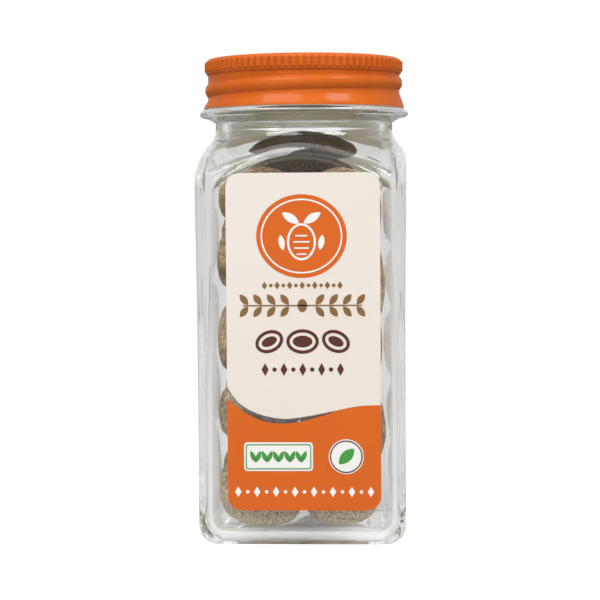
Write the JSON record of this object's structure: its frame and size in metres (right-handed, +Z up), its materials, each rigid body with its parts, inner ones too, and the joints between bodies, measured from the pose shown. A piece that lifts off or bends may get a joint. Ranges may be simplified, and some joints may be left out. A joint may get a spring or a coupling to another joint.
{
  "type": "glass spice jar of whole nutmegs",
  "caption": "Square clear glass spice jar with rounded shoulders, a ridged orange metal screw cap, a printed clear film label on the front and whole nutmegs inside.",
  "frame": {"origin": "middle of the jar's base, on the surface it stands on", "axes": "+Z up through the middle of the cap, -Y out of the labelled face, +X to the right of someone who looks at the label"},
  "size_m": [0.0496, 0.0496, 0.113],
  "materials": {
    "clear_glass": "clear polished glass",
    "cap_metal": "glossy orange lacquer on tinplate",
    "nutmeg": "dry, wrinkled and dusty",
    "clear_film": "clear film",
    "cream_ink": "satin ink on film",
    "orange_ink": "satin ink on film"
  },
  "bodies": {
    "root": {"jar_glass": "clear_glass", "screw_cap": "cap_metal", "nutmegs": "nutmeg", "label_film": "clear_film", "label_cream_field": "cream_ink", "label_orange_field": "orange_ink"}
  },
  "joints": []
}
